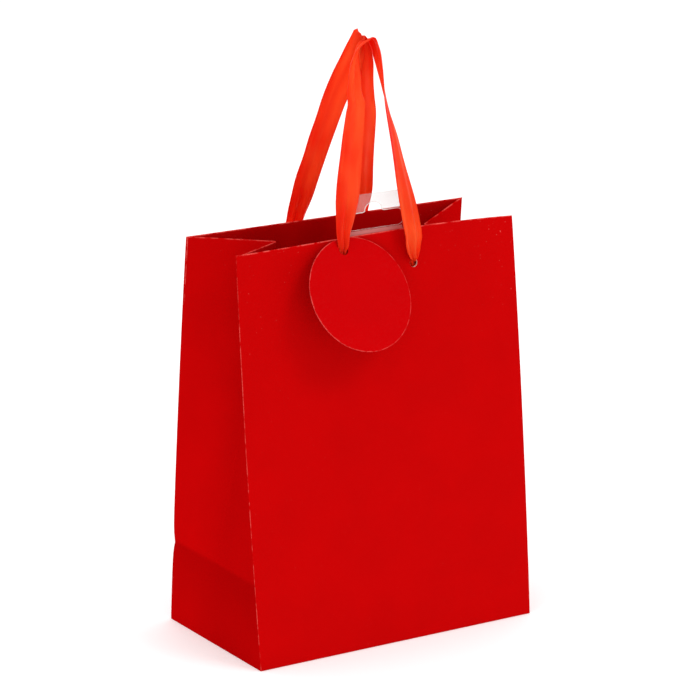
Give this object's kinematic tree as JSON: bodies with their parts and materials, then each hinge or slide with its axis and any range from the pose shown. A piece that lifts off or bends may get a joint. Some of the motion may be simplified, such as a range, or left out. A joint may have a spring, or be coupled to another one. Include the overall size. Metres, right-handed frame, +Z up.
{
  "type": "gift bag",
  "caption": "Upright red paper gift bag with folded side gussets, satin ribbon handles, a round tag hung on one handle and a clear hanging tab at the mouth.",
  "frame": {"origin": "centre of the base, on the surface that the bag stands on", "axes": "+X to the right along the front, +Y from the front panel to the rear panel, +Z up"},
  "size_m": [0.18, 0.1074, 0.3358],
  "materials": {
    "red_paper": "satin laminated red art paper, paler along worn creases",
    "card": "plain grey-brown card",
    "board": "grey board",
    "ribbon": "single-face satin ribbon",
    "tag_card": "red laminated card",
    "clear_film": "clear film",
    "adhesive": "clear double-sided adhesive"
  },
  "bodies": {
    "bag": {"rear_panel": "red_paper", "rear_turn_top": "red_paper", "rear_reinforcement_card": "card", "side_seam_flap": "red_paper", "left_gusset_front_half": "red_paper", "left_gusset_rear_half": "red_paper", "left_gusset_triangle": "red_paper", "left_gusset_turn_top": "red_paper", "right_gusset_front_half": "red_paper", "right_gusset_rear_half": "red_paper", "right_gusset_triangle": "red_paper", "right_gusset_turn_top": "red_paper", "base_front_flap": "red_paper", "base_rear_flap": "red_paper", "base_left_flap": "red_paper", "base_right_flap": "red_paper", "rear_ribbon_left_end": "ribbon", "rear_ribbon_right_end": "ribbon", "rear_left_knot": "ribbon", "rear_right_knot": "ribbon"},
    "front_side": {"front_panel": "red_paper", "front_turn_top": "red_paper", "front_reinforcement_card": "card", "front_ribbon_left_end": "ribbon", "front_ribbon_right_end": "ribbon", "front_left_knot": "ribbon", "front_right_knot": "ribbon", "hang_tab": "clear_film", "hang_tab_adhesive": "adhesive"},
    "front_handle": {"front_ribbon_handle": "ribbon"},
    "rear_handle": {"rear_ribbon_handle": "ribbon"},
    "tag": {"gift_tag": "tag_card"},
    "board": {"base_board": "board"}
  },
  "joints": [
    {"name": "mouth_open", "type": "hinge", "parent": "bag", "child": "front_side", "pos_m": [0, -0.05, 0], "axis": [1, 0, 0], "range_deg": [0, 10], "stiffness_Nm_per_rad": 0.03},
    {"name": "front_handle_swing", "type": "hinge", "parent": "front_side", "child": "front_handle", "pos_m": [0, -0.03099, 0.2278], "axis": [1, 0, 0], "range_deg": [0, 145]},
    {"name": "rear_handle_swing", "type": "hinge", "parent": "bag", "child": "rear_handle", "pos_m": [0, 0.03457, 0.22807], "axis": [-1, 0, 0], "range_deg": [0, 178]},
    {"name": "tag_swivel", "type": "hinge", "parent": "front_side", "child": "tag", "pos_m": [-0.0252, -0.02898, 0.22506], "axis": [0.0645, -0.8741, 0.4815], "range_deg": [-60, 6]},
    {"name": "board_tilt", "type": "hinge", "parent": "bag", "child": "board", "pos_m": [0, 0.0475, 0.00105], "axis": [-1, 0, 0], "range_deg": [0, 45]}
  ]
}
